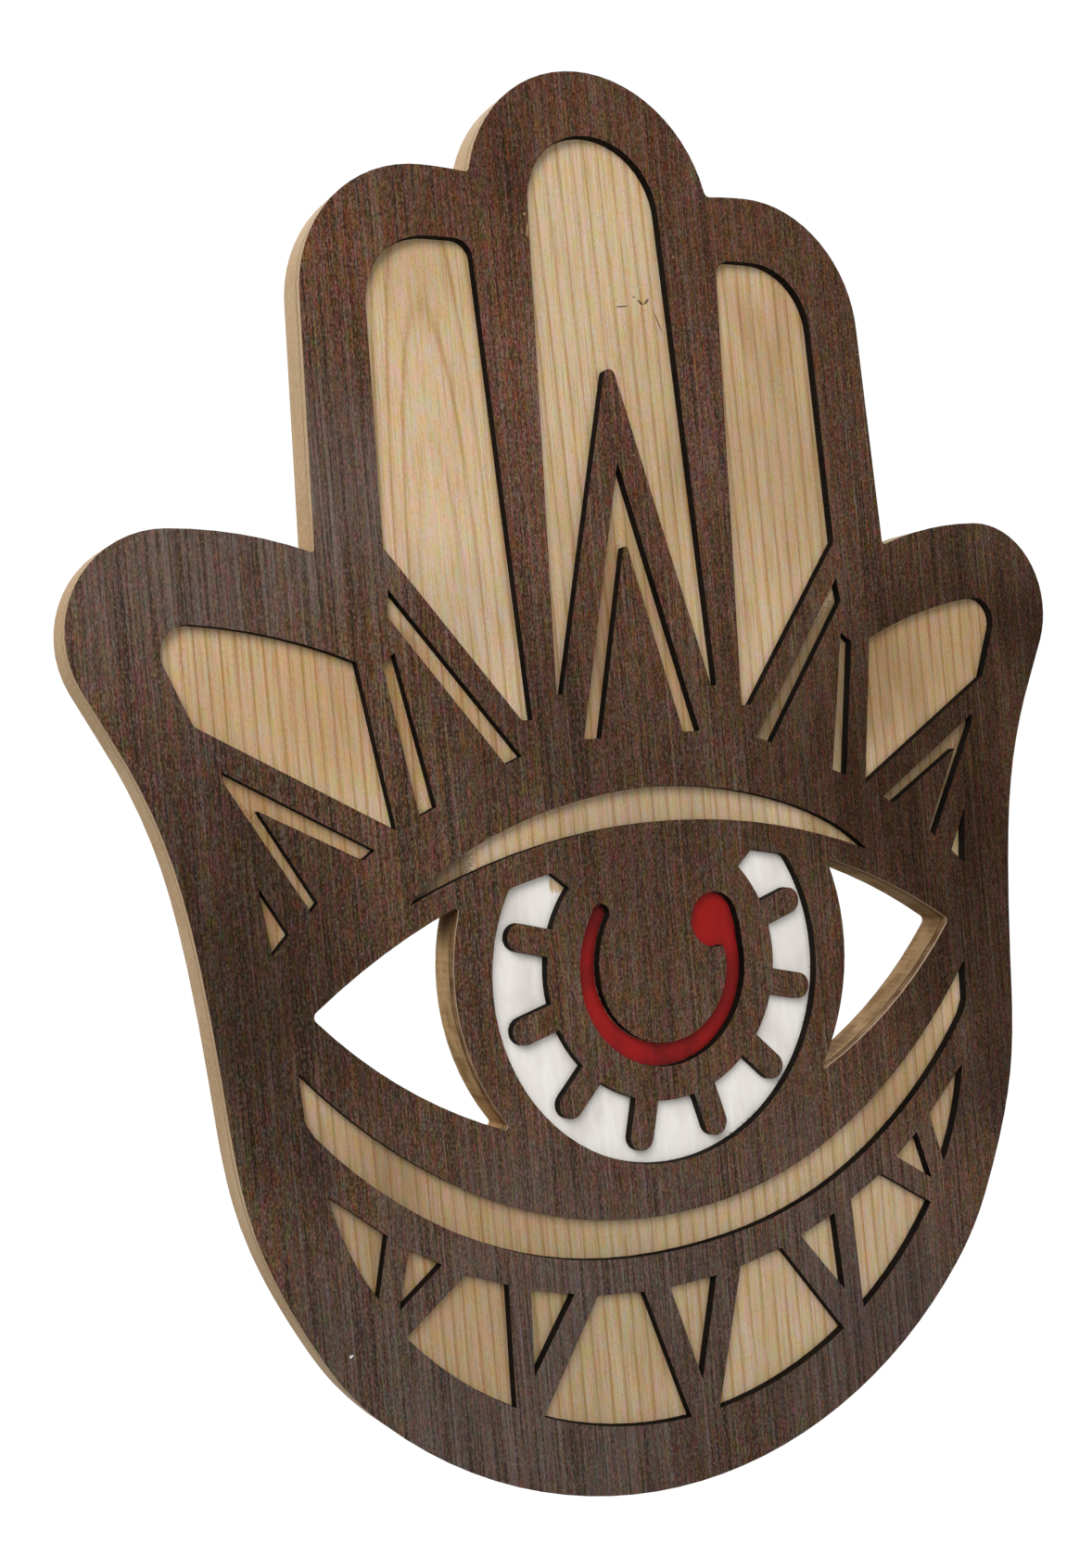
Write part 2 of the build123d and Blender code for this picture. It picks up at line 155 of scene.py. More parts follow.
# Fibres that run up the sheet: threads are broken streaks, pores are short dashes
def makeFibres():
    inputs = (
        ("Vector", "NodeSocketVector", None),
        ("Across", "NodeSocketFloat", 1000.0),
        ("Along", "NodeSocketFloat", 40.0),
        ("Wander", "NodeSocketFloat", 0.5 * mm),
    )
    outputs = (("Threads", "NodeSocketFloat"), ("Pores", "NodeSocketFloat"))
    swayCells, poreCells = (20, 20, 9), (1.7, 1.7, 2.6)
    poreOffset, poreRange = (7, 3, 11), (0.34, 0.24)
    group, start, finish = newGroup("upright fibres", inputs, outputs)
    sway = cloud(group, scaled(group, start["Vector"], swayCells), detail=1)
    shift = calc(group, "MULTIPLY", fromMiddle(group, sway), start["Wander"])
    place = splitAxes(group, start["Vector"])
    across = calc(group, "MULTIPLY", calc(group, "ADD", place["X"], shift), start["Across"])
    depth = calc(group, "MULTIPLY", place["Y"], start["Across"])
    along = calc(group, "MULTIPLY", place["Z"], start["Along"])
    run = addNode(group, "ShaderNodeCombineXYZ", {"X": across, "Y": depth, "Z": along}).outputs[0]
    group.links.new(cloud(group, run, detail=3, roughness=0.62), finish["Threads"])
    dashes = cloud(group, scaled(group, run, poreCells, poreOffset), detail=1)
    group.links.new(spread(group, dashes, *poreRange), finish["Pores"])
    return group


# Growth rings cut flat: straight lines at the sides and arches that close upward over the pith line
def makeRings():
    inputs = (
        ("Vector", "NodeSocketVector", None),
        ("Pith", "NodeSocketFloat", 0.0),
        ("Foot", "NodeSocketFloat", 0.0),
        ("Closing", "NodeSocketFloat", 0.05),
        ("Spacing", "NodeSocketFloat", 4 * mm),
        ("Lean", "NodeSocketFloat", 25.0),
        ("Phase", "NodeSocketFloat", 0.0),
        ("Sway", "NodeSocketFloat", 2 * mm),
    )
    outputs = (("Rings", "NodeSocketFloat"), ("Strength", "NodeSocketFloat"))
    swayCells, unevenCells, unevenness = (24, 24, 7), (60, 60, 3), 0.7
    crownLean, crownReach = (0.1, 0.6, 0.35, 1.0), (5 * mm, 11 * mm, 0.35, 1.0)
    footFade = 12 * mm
    group, start, finish = newGroup("growth rings", inputs, outputs)
    place = splitAxes(group, start["Vector"])
    sway = cloud(group, scaled(group, start["Vector"], swayCells), detail=2)
    shift = calc(group, "MULTIPLY", fromMiddle(group, sway), start["Sway"])
    side = calc(group, "SUBTRACT", calc(group, "ADD", place["X"], shift), start["Pith"])
    rise = calc(group, "MAXIMUM", calc(group, "SUBTRACT", place["Z"], start["Foot"]), 0.0)
    arch = calc(group, "MULTIPLY", rise, start["Closing"])
    reach = calc(group, "MULTIPLY_ADD", side, side, calc(group, "MULTIPLY", arch, arch))
    reach = calc(group, "SQRT", reach)
    count = calc(group, "DIVIDE", reach, start["Spacing"])
    turns = calc(group, "SUBTRACT", count, calc(group, "MULTIPLY", side, start["Lean"]))
    turns = calc(group, "ADD", turns, start["Phase"])
    uneven = cloud(group, scaled(group, start["Vector"], unevenCells), detail=1)
    turns = calc(group, "MULTIPLY_ADD", fromMiddle(group, uneven), unevenness, turns)
    group.links.new(calc(group, "FRACT", turns), finish["Rings"])
    lean = calc(group, "DIVIDE", calc(group, "ABSOLUTE", side), reach)
    crown = spread(group, reach, *crownReach)
    crown = calc(group, "MULTIPLY", spread(group, lean, *crownLean), crown)
    below = spread(group, rise, footFade, 0.0)
    group.links.new(calc(group, "MAXIMUM", crown, below), finish["Strength"])
    return group


# Colour that drifts along the fibres, rosy to green and cool to yellow, as a multiplier near white
def makeDrift():
    inputs = (
        ("Vector", "NodeSocketVector", None),
        ("Across", "NodeSocketFloat", 900.0),
        ("Along", "NodeSocketFloat", 50.0),
        ("Rosy", "NodeSocketFloat", 0.5),
        ("Cool", "NodeSocketFloat", 0.5),
    )
    rosyRed, rosyGreen = 0.6, -0.4
    offsets = {"Rosy": (0, 0, 0), "Cool": (13, 7, 5)}
    group, start, finish = newGroup("colour drift", inputs, (("Tint", "NodeSocketColor"),))
    stretch = {"X": start["Across"], "Y": start["Across"], "Z": start["Along"]}
    stretch = addNode(group, "ShaderNodeCombineXYZ", stretch).outputs[0]
    run = vectorMath(group, "MULTIPLY", start["Vector"], stretch)[0]
    swings = {}
    for name, offset in offsets.items():
        swing = cloud(group, scaled(group, run, (1, 1, 1), offset), detail=4, roughness=0.6)
        swings[name] = calc(group, "MULTIPLY", fromMiddle(group, swing), start[name])
    tint = {
        "Red": calc(group, "MULTIPLY_ADD", swings["Rosy"], rosyRed, 1.0),
        "Green": calc(group, "MULTIPLY_ADD", swings["Rosy"], rosyGreen, 1.0),
        "Blue": calc(group, "ADD", swings["Cool"], 1.0),
    }
    group.links.new(addNode(group, "ShaderNodeCombineColor", tint).outputs["Color"], finish["Tint"])
    return group


# A short straight mark on the sheet, such as a scratch or a chip, rough along its rim
def makeMark():
    inputs = (
        ("Vector", "NodeSocketVector", None),
        ("Centre", "NodeSocketVector", None),
        ("Angle", "NodeSocketFloat", 0.0),
        ("Length", "NodeSocketFloat", 2 * mm),
        ("Width", "NodeSocketFloat", 0.4 * mm),
    )
    roughCells, roughness, rimRange = 2600, 0.5, (0.3, 0.2)
    group, start, finish = newGroup("short mark", inputs, (("Mask", "NodeSocketFloat"),))
    rough = cloud(group, start["Vector"], scale=roughCells, detail=1)
    local = vectorMath(group, "SUBTRACT", start["Vector"], start["Centre"])[0]
    turn = {"Vector": local, "Axis": (0, 1, 0), "Angle": start["Angle"]}
    turned = addNode(group, "ShaderNodeVectorRotate", turn, rotation_type="AXIS_ANGLE")
    place = splitAxes(group, turned.outputs[0])
    along = calc(group, "DIVIDE", place["X"], start["Length"])
    across = calc(group, "DIVIDE", place["Z"], start["Width"])
    under = calc(group, "DIVIDE", place["Y"], start["Length"])
    reach = calc(group, "MULTIPLY", under, under)
    for part in (along, across):
        reach = calc(group, "MULTIPLY_ADD", part, part, reach)
    reach = calc(group, "MULTIPLY_ADD", fromMiddle(group, rough), roughness, reach)
    group.links.new(spread(group, reach, *rimRange), finish["Mask"])
    return group


# A broad patch with a ragged, fading border
def makePatch():
    inputs = (
        ("Vector", "NodeSocketVector", None),
        ("Centre", "NodeSocketVector", None),
        ("Reach", "NodeSocketFloat", 50 * mm),
    )
    raggedCells, raggedness, fadeRange = (90, 90, 24), 0.8, (1.0, 0.15)
    group, start, finish = newGroup("soft patch", inputs, (("Mask", "NodeSocketFloat"),))
    gap = vectorMath(group, "DISTANCE", start["Vector"], start["Centre"])["Value"]
    ragged = cloud(group, scaled(group, start["Vector"], raggedCells), detail=2)
    reach = calc(group, "DIVIDE", gap, start["Reach"])
    reach = calc(group, "MULTIPLY_ADD", fromMiddle(group, ragged), raggedness, reach)
    group.links.new(spread(group, reach, *fadeRange), finish["Mask"])
    return group


fibres = makeFibres()
rings = makeRings()
colourDrift = makeDrift()
shortMark = makeMark()
softPatch = makePatch()


def grain(tree, place, across, along, wander):
    return useGroup(tree, fibres, {"Vector": place, "Across": across, "Along": along, "Wander": wander})


def drifted(tree, place, colour, drift):
    tint = useGroup(tree, colourDrift, {"Vector": place, **drift})["Tint"]
    return blendColour(tree, 1.0, colour, tint, "MULTIPLY")


# A spot on a sheet is millimetres to the right and up, and its reach or size is in millimetres too
def patchMask(tree, place, level, spot, reach):
    centre = (spot[0] * mm, level, spot[1] * mm)
    return useGroup(tree, softPatch, {"Vector": place, "Centre": centre, "Reach": reach * mm})["Mask"]


def markMask(tree, place, level, spot, angle, length, width):
    centre = (spot[0] * mm, level, spot[1] * mm)
    size = {"Angle": angle, "Length": length * mm, "Width": width * mm}
    return useGroup(tree, shortMark, {"Vector": place, "Centre": centre, **size})["Mask"]


# Multiplies each cast into the colour: partly the sheet's own tone, partly painted light and shade
def toneAndShadePatches(tree, place, level, colour, toneAndShadeCasts):
    for spot, reach, cast in toneAndShadeCasts:
        colour = blendColour(tree, patchMask(tree, place, level, spot, reach), colour, cast, "MULTIPLY")
    return colour


def dabPatch(tree, place, level, colour, dab, spot, reach, strength):
    mask = calc(tree, "MULTIPLY", patchMask(tree, place, level, spot, reach), strength)
    return blendColour(tree, mask, colour, dab)


print("shared effects ready")

# Dark veneer: smoked brown with fine upright streaks, with a painted grey sheen towards the left and the
# foot
darkVeneer = {
    "specular": 0.06,
    "deep": (0.020, 0.0112, 0.0070),
    "brown": (0.066, 0.0340, 0.0190),
    "red": (0.112, 0.0480, 0.0265),
    "grey": (0.118, 0.0740, 0.0450),
    "rust": (0.185, 0.0420, 0.0260),
    "olive": (0.070, 0.0620, 0.0280),
    "thread": (0.240, 0.172, 0.120),
    "sheenGrey": (0.185, 0.160, 0.160),
    # fibres: threads in a metre across and along, wander
    "fine": (3600.0, 420.0, 0.6 * mm),
    "streak": (1300.0, 16.0, 1.5 * mm),
    "broad": (160.0, 9.0, 4 * mm),
    # blotches and specks: cells in a metre, offset
    "blotch": ((1000, 1000, 330), (5, 1, 2)),
    "speck": ((2300, 2300, 1100), (1, 6, 3)),
    "drift": {"Across": 900.0, "Along": 240.0, "Rosy": 2.0, "Cool": 2.8},
    "toneStops": (0.30, 0.50, 0.68),  # brown, red, grey
    # where each pattern starts and is full, and its strength at both
    "rustRange": (0.51, 0.68, 0, 0.60),
    "oliveRange": (0.49, 0.34, 0, 0.70),
    "streakDark": (0.51, 0.34, 0, 0.80),
    "streakLight": (0.53, 0.70, 0, 0.56),
    "fineDark": (0.51, 0.34, 0, 0.58),
    "fineLight": (0.53, 0.70, 0, 0.52),
    "speckDark": (0.48, 0.34, 0, 0.68),
    "speckLight": (0.54, 0.68, 0, 0.50),
    "sheenBreakRange": (0.38, 0.62, 0.25, 1.0),
    "poreStrength": 0.6,
    "roughness": (0.2, 0.8, 0.62, 0.46),
    "bump": (0.35, 0.06 * mm),
    # how each place departs from the middle of the sheet, partly the veneer's own tone and partly painted
    # light and shade: spot, reach, colour to multiply by
    "toneAndShadeCasts": (
        ((-130, -198), 66, (0.48, 0.49, 0.50)),
        ((105, -148), 90, (0.53, 0.475, 0.435)),
        ((140, -105), 60, (0.78, 0.77, 0.75)),
        ((-134, -145), 38, (0.76, 0.79, 0.85)),
        ((70, -165), 45, (0.82, 0.80, 0.78)),
        ((128, -222), 75, (0.60, 0.58, 0.56)),
        ((0, -162), 62, (0.80, 0.80, 0.82)),
        ((-38, -130), 40, (0.82, 0.82, 0.84)),
        ((-20, -340), 130, (0.78, 0.86, 0.97)),
        ((72, -325), 55, (0.80, 0.84, 0.93)),
        ((-105, -297), 45, (0.84, 0.93, 1.0)),
        ((0, 0), 150, (1.00, 0.88, 0.85)),
        ((-35, 32), 20, (0.84, 0.80, 0.82)),
        ((-84, 2), 30, (1.22, 1.14, 1.16)),
        ((-32, -30), 45, (1.25, 1.26, 1.36)),
        ((-32, -74), 34, (1.24, 1.28, 1.36)),
        ((33, -45), 50, (1.24, 1.28, 1.45)),
        ((-118, -242), 26, (0.76, 0.79, 0.86)),
        ((120, -268), 28, (0.70, 0.72, 0.83)),
        ((158, -108), 26, (0.62, 0.57, 0.55)),
        ((66, -222), 28, (0.88, 0.79, 0.74)),
        ((0, -266), 45, (1.10, 1.10, 1.12)),
    ),
    # painted grey sheen, broken up along the streaks: spot, reach, strength
    "sheenPatches": (
        ((-132, -92), 52, 0.34),
        ((-92, -66), 42, 0.40),
        ((-60, -310), 95, 0.30),
        ((60, -310), 80, 0.22),
    ),
    # chips along the rim of the middle window: spot, angle, length, width
    "chip": (0.30, 0.19, 0.10),
    "chips": (
        ((-23.75, 15.2), 0.3, 1.1, 0.8),
        ((-23.3, 10.6), 1.45, 4.2, 0.8),
        ((26.6, 6.4), 1.3, 1.0, 0.6),
    ),
    # one light fleck low on the left
    "fleck": (0.80, 0.79, 0.76),
    "fleckMark": ((-108.5, -294.3), 0.5, 1.2, 0.7),
}


def makeDarkVeneer():
    look = darkVeneer
    finish, tree, principled = newFinish("smoked veneer", {"Specular IOR Level": look["specular"]})
    place = objectCoords(tree)
    fine, streak, broad = (grain(tree, place, *look[name]) for name in ("fine", "streak", "broad"))
    tones = (look["brown"], look["red"], look["grey"])
    colour = toneRamp(tree, broad["Threads"], tuple(zip(look["toneStops"], tones)))
    blotch = cloud(tree, scaled(tree, place, *look["blotch"]), detail=3)
    colour = blendColour(tree, spread(tree, blotch, *look["rustRange"]), colour, look["rust"])
    colour = blendColour(tree, spread(tree, blotch, *look["oliveRange"]), colour, look["olive"])
    for fibre, dark, light in ((streak, "streakDark", "streakLight"), (fine, "fineDark", "fineLight")):
        colour = blendColour(tree, spread(tree, fibre["Threads"], *look[dark]), colour, look["deep"])
        colour = blendColour(tree, spread(tree, fibre["Threads"], *look[light]), colour, look["thread"])
    pores = calc(tree, "MULTIPLY", fine["Pores"], look["poreStrength"])
    colour = blendColour(tree, pores, colour, look["deep"])
    speck = cloud(tree, scaled(tree, place, *look["speck"]), detail=2)
    colour = blendColour(tree, spread(tree, speck, *look["speckDark"]), colour, look["deep"])
    colour = blendColour(tree, spread(tree, speck, *look["speckLight"]), colour, look["thread"])
    colour = drifted(tree, place, colour, look["drift"])
    colour = toneAndShadePatches(tree, place, frontLevel, colour, look["toneAndShadeCasts"])
    # painted grey sheen on the left and at the foot, broken up along the streaks
    sheenBreak = spread(tree, streak["Threads"], *look["sheenBreakRange"])
    for spot, reach, strength in look["sheenPatches"]:
        sheen = calc(tree, "MULTIPLY", patchMask(tree, place, frontLevel, spot, reach), strength)
        colour = blendColour(tree, calc(tree, "MULTIPLY", sheen, sheenBreak), colour, look["sheenGrey"])
    for chip in look["chips"]:
        colour = blendColour(tree, markMask(tree, place, frontLevel, *chip), colour, look["chip"])
    fleck = markMask(tree, place, frontLevel, *look["fleckMark"])
    colour = blendColour(tree, fleck, colour, look["fleck"])
    roughness = spread(tree, fine["Threads"], *look["roughness"])
    connect(tree, principled, colour, roughness, fine["Threads"], look["bump"])
    return finish


# Pale veneer: ash-like, golden lines on cream, arches in the left finger
paleVeneer = {
    "specular": 0.18,
    "cream": (0.664, 0.500, 0.322),
    "honey": (0.600, 0.430, 0.255),
    "light": (0.730, 0.580, 0.410),
    "gold": (0.425, 0.252, 0.096),
    "late": (0.345, 0.195, 0.078),
    # fibres: threads in a metre across and along, wander
    "fine": (1700.0, 42.0, 1.0 * mm),
    "broad": (130.0, 5.0, 6 * mm),
    "speck": (2300, 2300, 900),
    "drift": {"Across": 800.0, "Along": 220.0, "Rosy": 0.95, "Cool": 1.6},
    "rings": {
        "Pith": -59.6 * mm,
        "Foot": -110 * mm,
        "Closing": 0.11,
        "Spacing": 4.09 * mm,
        "Lean": 25.4,
        "Phase": 0.23,
        "Sway": 2 * mm,
    },
    # how dark the line is from one growth ring to the next
    "lineStops": (
        (0.0, 0.22), (0.07, 0.04), (0.58, 0.03), (0.76, 0.32), (0.86, 1.0), (0.93, 0.78), (1.0, 0.22)
    ),
    # where each pattern starts and is full, and its strength at both
    "lineRange": (0.25, 0.7, 0.7, 1.0),
    "honeyRange": (0.45, 0.75, 0, 0.6),
    "fineLight": (0.51, 0.66, 0, 0.60),
    "fineGold": (0.49, 0.34, 0, 0.50),
    "speckGold": (0.47, 0.34, 0, 0.30),
    "speckLight": (0.54, 0.68, 0, 0.30),
    "poreStrength": 0.30,
    "roughness": (0.2, 0.8, 0.60, 0.48),
    "bump": (0.25, 0.05 * mm),
    # how each place departs from the middle of the sheet, partly the veneer's own tone and partly painted
    # light and shade: spot, reach, colour to multiply by
    "toneAndShadeCasts": (
        ((0, -300), 240, (0.87, 0.87, 0.88)),
        ((-60, -285), 105, (0.80, 0.74, 0.66)),
        ((-112, -115), 60, (0.83, 0.76, 0.67)),
        ((112, -115), 60, (0.72, 0.65, 0.56)),
        ((62, -50), 80, (0.77, 0.72, 0.66)),
        ((0, -80), 48, (0.84, 0.81, 0.77)),
        ((-64, -30), 60, (0.96, 0.94, 0.92)),
        ((-58, 2), 28, (0.86, 0.81, 0.74)),
        ((0, -160), 60, (0.82, 0.80, 0.78)),
        ((0, -112), 36, (0.80, 0.78, 0.77)),
        ((0, 0), 60, (0.95, 0.96, 0.96)),
        ((-104, -250), 55, (0.74, 0.70, 0.66)),
        ((86, -257), 38, (0.76, 0.68, 0.60)),
        ((-28, -290), 45, (1.02, 1.09, 1.12)),
        ((-92, -132), 30, (0.90, 0.85, 0.77)),
        ((92, -124), 30, (0.76, 0.72, 0.64)),
        ((-55, -98), 28, (0.86, 0.87, 0.91)),
        ((60, -12), 26, (0.88, 0.81, 0.75)),
    ),
    # narrow strips in shade: foot and head of the right-hand one, its tint, the tint of its twin
    "strips": (
        ((46, -139), (79, -100), (0.45, 0.41, 0.36), (0.78, 0.71, 0.64)),
        ((74, -152), (81, -112), (0.65, 0.65, 0.62), (0.77, 0.67, 0.55)),
        ((93, -163), (129, -142), (0.54, 0.50, 0.46), (0.80, 0.71, 0.62)),
        ((109, -175), (125, -150), (0.61, 0.62, 0.60), (0.69, 0.62, 0.51)),
        ((119, -184), (123, -171), (0.95, 1.00, 1.00), (0.66, 0.55, 0.40)),
        ((60, -168), (78, -176), (0.75, 0.74, 0.66), (0.41, 0.38, 0.36)),
        ((17, -137), (3, -80), (0.93, 0.87, 0.77), (0.80, 0.71, 0.65)),
    ),
    "stripWidth": 9,
    "stripReach": 1.2,  # times the way from foot to head
    # dark scratches in the middle window: spot, angle, length, width
    "scratch": (0.045, 0.032, 0.024),
    "scratchStrength": 0.85,
    "scratches": (
        ((8.6, -8.9), 0.12, 4.6, 0.42),
        ((15.3, -7.4), -0.7, 2.4, 0.8),
        ((17.5, -6.9), 0.8, 2.4, 0.75),
        ((13.1, -5.8), -0.2, 1.2, 0.4),
        ((20.9, -12.8), -1.2, 6.4, 0.42),
    ),
}


def paleGrain(tree, place):
    look = paleVeneer
    fine, broad = (grain(tree, place, *look[name]) for name in ("fine", "broad"))
    year = useGroup(tree, rings, {"Vector": place, **look["rings"]})
    line = toneRamp(tree, year["Rings"], [(at, (level,) * 3) for at, level in look["lineStops"]])
    line = calc(tree, "MULTIPLY", line, spread(tree, broad["Threads"], *look["lineRange"]))
    line = calc(tree, "MULTIPLY", line, year["Strength"])
    honey = spread(tree, broad["Threads"], *look["honeyRange"])
    tone = blendColour(tree, honey, look["cream"], look["honey"])
    tone = blendColour(tree, line, tone, look["gold"])
    tone = blendColour(tree, spread(tree, fine["Threads"], *look["fineLight"]), tone, look["light"])
    tone = blendColour(tree, spread(tree, fine["Threads"], *look["fineGold"]), tone, look["gold"])
    pores = calc(tree, "MULTIPLY", fine["Pores"], look["poreStrength"])
    tone = blendColour(tree, pores, tone, look["late"])
    speck = cloud(tree, scaled(tree, place, look["speck"]), detail=2)
    tone = blendColour(tree, spread(tree, speck, *look["speckGold"]), tone, look["gold"])
    tone = blendColour(tree, spread(tree, speck, *look["speckLight"]), tone, look["light"])
    return drifted(tree, place, tone, look["drift"]), fine["Threads"]


def shadeStrips(tree, place, colour):
    for foot, head, rightTint, leftTint in paleVeneer["strips"]:
        for side, tint in ((1, rightTint), (-1, leftTint)):
            run = Vector((side * (head[0] - foot[0]), head[1] - foot[1]))
            spot = (side * (foot[0] + head[0]) / 2, (foot[1] + head[1]) / 2)
            angle = math.atan2(run.y, run.x)
            length = paleVeneer["stripReach"] * run.length
            mask = markMask(tree, place, floorLevel, spot, angle, length, paleVeneer["stripWidth"])
            colour = blendColour(tree, mask, colour, tint, "MULTIPLY")
    return colour


def markFront(tree, place, colour):
    look = paleVeneer
    colour = toneAndShadePatches(tree, place, floorLevel, colour, look["toneAndShadeCasts"])
    colour = shadeStrips(tree, place, colour)
    for scratch in look["scratches"]:
        mask = markMask(tree, place, floorLevel, *scratch)
        mask = calc(tree, "MULTIPLY", mask, look["scratchStrength"])
        colour = blendColour(tree, mask, colour, look["scratch"])
    return colour


def makePaleVeneer(name, isFront):
    finish, tree, principled = newFinish(name, {"Specular IOR Level": paleVeneer["specular"]})
    place = objectCoords(tree)
    colour, threads = paleGrain(tree, place)
    if isFront:
        colour = markFront(tree, place, colour)
    roughness = spread(tree, threads, *paleVeneer["roughness"])
    connect(tree, principled, colour, roughness, threads, paleVeneer["bump"])
    return finish


# Cut edges of the boards: plain tan fibreboard with a dark glue line under the front board
boardEdge = {
    "specular": 0.25,
    "tan": (0.56, 0.400, 0.244),
    "shade": (0.43, 0.288, 0.160),
    "pale": (0.64, 0.478, 0.312),
    "seam": (0.055, 0.036, 0.022),
    # cells in a metre
    "speck": 900,
    "drift": (28, 28, 28),
    "tooth": (500, 2600, 500),
    # where each pattern starts and is full, and its strength at both
    "tanRange": (0.35, 0.7),
    "paleRange": (0.35, 0.75, 0, 0.7),
    "toothRange": (0.45, 0.25, 0, 0.35),
    "seamRange": (0.40, 0.62, 0.45, 1.0),
    "seamWidth": 0.40 * mm,
    "seamCore": 0.16 * mm,
    "seamWobble": 0.3 * mm,
    "seamStrength": 0.8,
    "roughness": (0.3, 0.7, 0.8, 0.66),
    "bump": (0.3, 0.05 * mm),
}


def makeBoardEdge():
    look = boardEdge
    finish, tree, principled = newFinish("board edge", {"Specular IOR Level": look["specular"]})
    place = objectCoords(tree)
    speck = cloud(tree, place, scale=look["speck"], detail=4, roughness=0.7)
    drift = cloud(tree, scaled(tree, place, look["drift"]), detail=2)
    tooth = cloud(tree, scaled(tree, place, look["tooth"]), detail=2)
    colour = blendColour(tree, spread(tree, speck, *look["tanRange"]), look["shade"], look["tan"])
    colour = blendColour(tree, spread(tree, drift, *look["paleRange"]), colour, look["pale"])
    colour = blendColour(tree, spread(tree, tooth, *look["toothRange"]), colour, look["shade"])
    depth = splitAxes(tree, place)["Y"]
    wobble = calc(tree, "MULTIPLY_ADD", fromMiddle(tree, drift), look["seamWobble"], depth)
    gap = calc(tree, "ABSOLUTE", calc(tree, "SUBTRACT", wobble, floorLevel))
    seam = spread(tree, gap, look["seamWidth"], look["seamCore"], 0, look["seamStrength"])
    seam = calc(tree, "MULTIPLY", seam, spread(tree, drift, *look["seamRange"]))
    colour = blendColour(tree, seam, colour, look["seam"])
    connect(tree, principled, colour, spread(tree, speck, *look["roughness"]), speck, look["bump"])
    return finish


# Walls of the windows, scorched by the cut, and the browner walls of the pierced eye corners
scorch = {
    "specular": 0.08,
    "char": (0.0050, 0.0040, 0.0035),
    "soot": (0.015, 0.0105, 0.0080),
    "brown": (0.270, 0.160, 0.072),
    "toast": (0.500, 0.335, 0.172),
    "scorchAndShade": (0.098, 0.042, 0.014),
    "rim": (0.520, 0.385, 0.285),
    "seam": (0.050, 0.030, 0.016),
    # cells in a metre
    "cut": (900, 60, 900),
    "drift": (45, 160, 45),
    "blotch": (110, 200, 110),
    # shares of the slow and the fine pattern, and where the blend starts and is full
    "charShares": (0.6, 0.4),
    "charRange": (0.32, 0.68),
    "toastShares": (0.75, 0.25),
    "toastRange": (0.34, 0.62),
    "scaldRange": (0.42, 0.60, 0.15, 0.85),
    # depth from the floor of the windows
    "scaldStart": 0.2 * mm,
    "scaldFull": -0.4 * mm,
    "seamWidth": 0.35 * mm,
    "seamCore": 0.1 * mm,
    "seamStrength": 0.8,
    # depth behind the front face
    "rimStart": 0.8 * mm,
    "rimFull": 0.55 * mm,
    "rimStrength": 0.85,
    "charRoughness": (0.3, 0.7, 0.90, 0.75),
    "toastRoughness": (0.3, 0.7, 0.80, 0.65),
    "bump": (0.3, 0.05 * mm),
    # darker places on the through walls: depth, spot, reach, strength; the first is soot on the left eye
    # corner, the other two are painted shade on the right eye corner
    "sootAndShade": (
        (-10 * mm, (-65, -181), 13, 0.85),
        (-9 * mm, (95, -200), 60, 0.45),
        (-10 * mm, (68, -183), 16, 0.45),
    ),
}


def wallPatterns(tree, place, slow, shares):
    cut = cloud(tree, scaled(tree, place, scorch["cut"]), detail=2)
    slowShare, cutShare = shares
    mix = calc(tree, "MULTIPLY_ADD", slow, slowShare, calc(tree, "MULTIPLY", cut, cutShare))
    return cut, mix


def makeCharred():
    finish, tree, principled = newFinish("charred wall", {"Specular IOR Level": scorch["specular"]})
    place = objectCoords(tree)
    drift = cloud(tree, scaled(tree, place, scorch["drift"]), detail=2)
    cut, mix = wallPatterns(tree, place, drift, scorch["charShares"])
    colour = blendColour(tree, spread(tree, mix, *scorch["charRange"]), scorch["char"], scorch["soot"])
    connect(tree, principled, colour, spread(tree, cut, *scorch["charRoughness"]), cut, scorch["bump"])
    return finish


def makeToasted():
    finish, tree, principled = newFinish("toasted wall", {"Specular IOR Level": scorch["specular"]})
    place = objectCoords(tree)
    blotch = cloud(tree, scaled(tree, place, scorch["blotch"]), detail=3)
    cut, mix = wallPatterns(tree, place, blotch, scorch["toastShares"])
    colour = blendColour(tree, spread(tree, mix, *scorch["toastRange"]), scorch["brown"], scorch["toast"])
    depth = splitAxes(tree, place)["Y"]
    front = spread(tree, depth, floorLevel + scorch["scaldStart"], floorLevel + scorch["scaldFull"])
    scald = calc(tree, "MULTIPLY", front, spread(tree, blotch, *scorch["scaldRange"]))
    colour = blendColour(tree, scald, colour, scorch["scorchAndShade"])
    # soot on the left eye corner and painted shade on the right eye corner
    for level, *darkSpot in scorch["sootAndShade"]:
        colour = dabPatch(tree, place, level, colour, scorch["scorchAndShade"], *darkSpot)
    gap = calc(tree, "ABSOLUTE", calc(tree, "SUBTRACT", depth, floorLevel))
    seam = spread(tree, gap, scorch["seamWidth"], scorch["seamCore"], 0, scorch["seamStrength"])
    colour = blendColour(tree, seam, colour, scorch["seam"])
    rimStart, rimFull = frontLevel + scorch["rimStart"], frontLevel + scorch["rimFull"]
    rim = spread(tree, depth, rimStart, rimFull, 0, scorch["rimStrength"])
    colour = blendColour(tree, rim, colour, scorch["rim"])
    connect(tree, principled, colour, spread(tree, cut, *scorch["toastRoughness"]), cut, scorch["bump"])
    return finish
